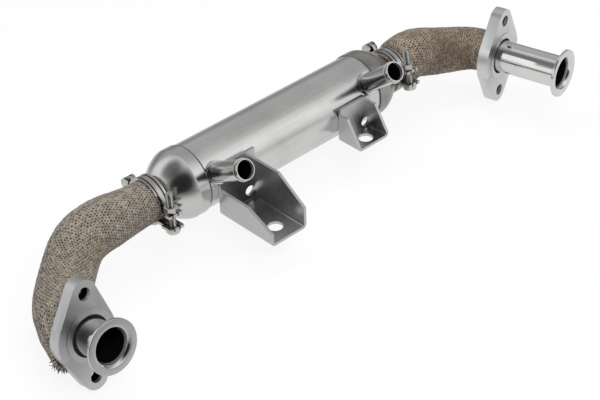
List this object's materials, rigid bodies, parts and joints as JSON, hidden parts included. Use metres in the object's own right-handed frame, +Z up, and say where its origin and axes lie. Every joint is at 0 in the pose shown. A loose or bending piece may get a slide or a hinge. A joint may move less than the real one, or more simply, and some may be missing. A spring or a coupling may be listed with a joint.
{
  "type": "exhaust gas recirculation cooler",
  "caption": "Tubular stainless exhaust gas cooler with coolant stubs, tray brackets, clamped flexible gas pipes in knitted sleeves and flanged, lipped gas ends.",
  "frame": {"origin": "centre of the front bracket's bolt hole, on the underside of its base", "axes": "+X along the shell axis from the front end to the rear end, -Y the way the brackets and both gas ends face, +Z up"},
  "size_m": [0.544, 0.1499, 0.0989],
  "materials": {
    "shell_steel": "satin brushed stainless sheet",
    "bright_steel": "polished stainless tube",
    "flange_steel": "fine machined grey",
    "bracket_steel": "rolled stainless sheet, folded",
    "zinc_steel": "zinc plated, slightly worn",
    "inner_steel": "plain drawn stainless",
    "knit": "knitted heat sleeve, beige brown"
  },
  "bodies": {
    "root": {"cooler_shell": "shell_steel", "front_end_cone": "shell_steel", "rear_end_cone": "shell_steel", "front_tube_plate": "inner_steel", "rear_tube_plate": "inner_steel", "front_coolant_stub": "bright_steel", "rear_coolant_stub": "bright_steel", "front_stub_collar": "bright_steel", "rear_stub_collar": "bright_steel", "front_bracket": "bracket_steel", "rear_bracket": "bracket_steel", "front_neck_cuff": "inner_steel", "rear_neck_cuff": "inner_steel", "front_flange_cuff": "inner_steel", "rear_flange_cuff": "inner_steel", "front_bellows": "inner_steel", "rear_bellows": "inner_steel", "front_sleeve": "knit", "rear_sleeve": "knit", "front_flange": "flange_steel", "rear_flange": "flange_steel", "front_gas_stub": "bright_steel", "rear_gas_stub": "bright_steel", "front_clamp_upper_band": "zinc_steel", "front_clamp_lower_band": "zinc_steel", "front_clamp_hinge_pin": "zinc_steel", "front_clamp_bolt": "zinc_steel", "front_clamp_nut": "zinc_steel", "rear_clamp_upper_band": "zinc_steel", "rear_clamp_lower_band": "zinc_steel", "rear_clamp_hinge_pin": "zinc_steel", "rear_clamp_bolt": "zinc_steel", "rear_clamp_nut": "zinc_steel", "baffle_01": "inner_steel", "baffle_02": "inner_steel", "baffle_03": "inner_steel", "gas_tube_01": "inner_steel", "gas_tube_02": "inner_steel", "gas_tube_03": "inner_steel", "gas_tube_04": "inner_steel", "gas_tube_05": "inner_steel", "gas_tube_06": "inner_steel", "gas_tube_07": "inner_steel", "gas_tube_08": "inner_steel", "gas_tube_09": "inner_steel", "gas_tube_10": "inner_steel", "gas_tube_11": "inner_steel", "gas_tube_12": "inner_steel", "gas_tube_13": "inner_steel", "gas_tube_14": "inner_steel", "gas_tube_15": "inner_steel", "gas_tube_16": "inner_steel", "gas_tube_17": "inner_steel", "gas_tube_18": "inner_steel", "gas_tube_19": "inner_steel"}
  },
  "joints": []
}
